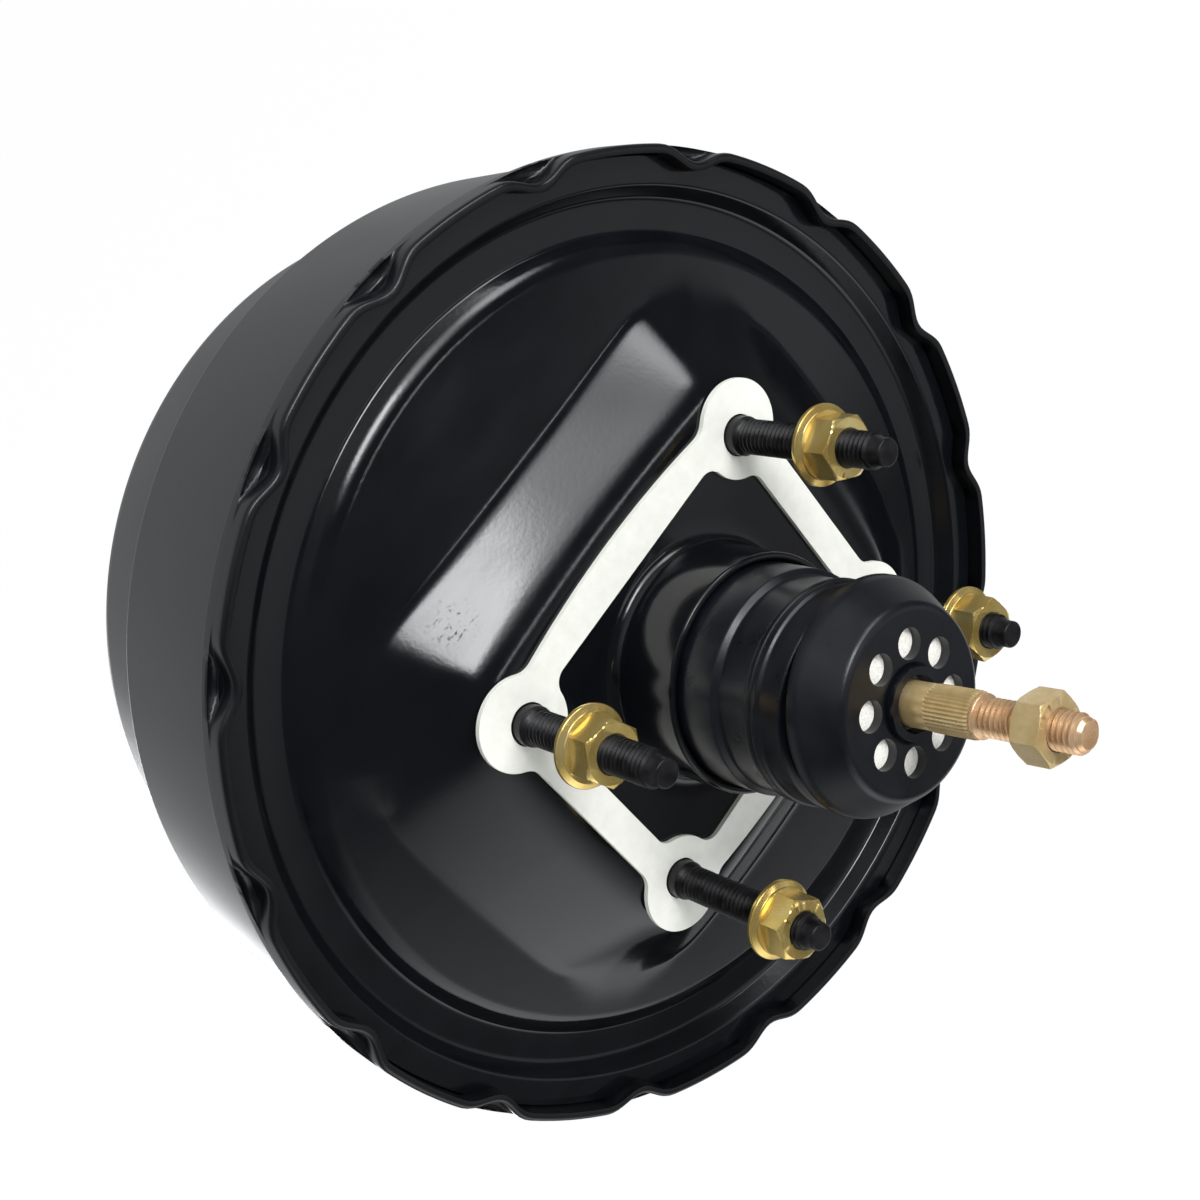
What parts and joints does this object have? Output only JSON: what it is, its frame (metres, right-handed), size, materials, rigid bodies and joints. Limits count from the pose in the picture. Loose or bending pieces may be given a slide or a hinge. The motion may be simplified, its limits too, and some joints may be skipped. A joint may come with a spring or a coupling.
{
  "type": "brake booster",
  "caption": "Single-diaphragm vacuum brake booster: round crimped shell, studded bulkhead side with gasket, rubber boot and threaded pedal rod.",
  "frame": {"origin": "centre of the four bulkhead studs, on the gasket face that meets the bulkhead", "axes": "+Y into the booster towards the engine, -Y towards the pedal, +X the long side of the stud rectangle, +Z its short side and up"},
  "size_m": [0.2236, 0.2398, 0.2236],
  "materials": {
    "rear_paint": "gloss black paint on pressed steel",
    "front_paint": "satin black paint on pressed steel",
    "gasket": "matte off-white fibre gasket",
    "black_steel": "black oxide steel",
    "yellow_zinc": "yellow passivated zinc plate",
    "bare_steel": "zinc plated steel",
    "boot_rubber": "satin moulded rubber",
    "black_rubber": "matte rubber",
    "felt": "white felt",
    "foam": "open cell foam",
    "phenolic": "moulded phenolic",
    "spring_steel": "bare spring steel",
    "valve_plastic": "moulded nylon",
    "copper_steel": "copper coloured passivated steel",
    "olive_zinc": "olive passivated steel"
  },
  "bodies": {
    "housing": {"front_shell": "front_paint", "rear_shell": "rear_paint", "mounting_gasket": "gasket", "bulkhead_studs": "black_steel", "flange_nuts": "yellow_zinc", "stud_plate": "bare_steel", "hub_seal": "black_rubber", "seal_retainer": "valve_plastic", "front_plate": "bare_steel", "master_studs": "black_steel", "front_seal": "black_rubber", "check_valve_grommet": "black_rubber"},
    "valve": {"check_valve": "valve_plastic"},
    "power_piston": {"valve_body": "phenolic", "diaphragm": "black_rubber", "support_plate": "bare_steel", "return_spring": "spring_steel", "reaction_disc": "black_rubber", "output_rod": "bare_steel", "rod_retainer": "bare_steel", "stop_key": "bare_steel", "poppet": "black_rubber", "poppet_spring": "spring_steel", "poppet_retainer": "bare_steel", "filter_silencer": "foam", "air_filter": "felt", "boot_bellows": "boot_rubber", "boot_cap": "boot_rubber"},
    "plunger": {"valve_plunger": "bare_steel"},
    "input_rod": {"input_rod": "copper_steel", "rod_sleeve": "olive_zinc", "jam_nut": "yellow_zinc"}
  },
  "joints": [
    {"name": "booster_stroke", "type": "slide", "parent": "housing", "child": "power_piston", "axis": [0, 1, 0], "range_m": [0, 0.028], "stiffness_N_per_m": 3000, "springref_m": -0.02, "deforming": ["boot_bellows", "return_spring", "diaphragm"]},
    {"name": "plunger_travel", "type": "slide", "parent": "power_piston", "child": "plunger", "axis": [0, 1, 0], "range_m": [0, 0.0016], "stiffness_N_per_m": 1500, "springref_m": -0.003},
    {"name": "rod_swivel", "type": "hinge", "parent": "plunger", "child": "input_rod", "pos_m": [0, -0.025, 0], "axis": [1, 0, 0], "range_deg": [-1.2, 1.2]},
    {"name": "check_valve_swivel", "type": "hinge", "parent": "housing", "child": "valve", "pos_m": [0.0502, 0.112, -0.0502], "axis": [0, 1, 0], "range_deg": [-60, 60]}
  ]
}
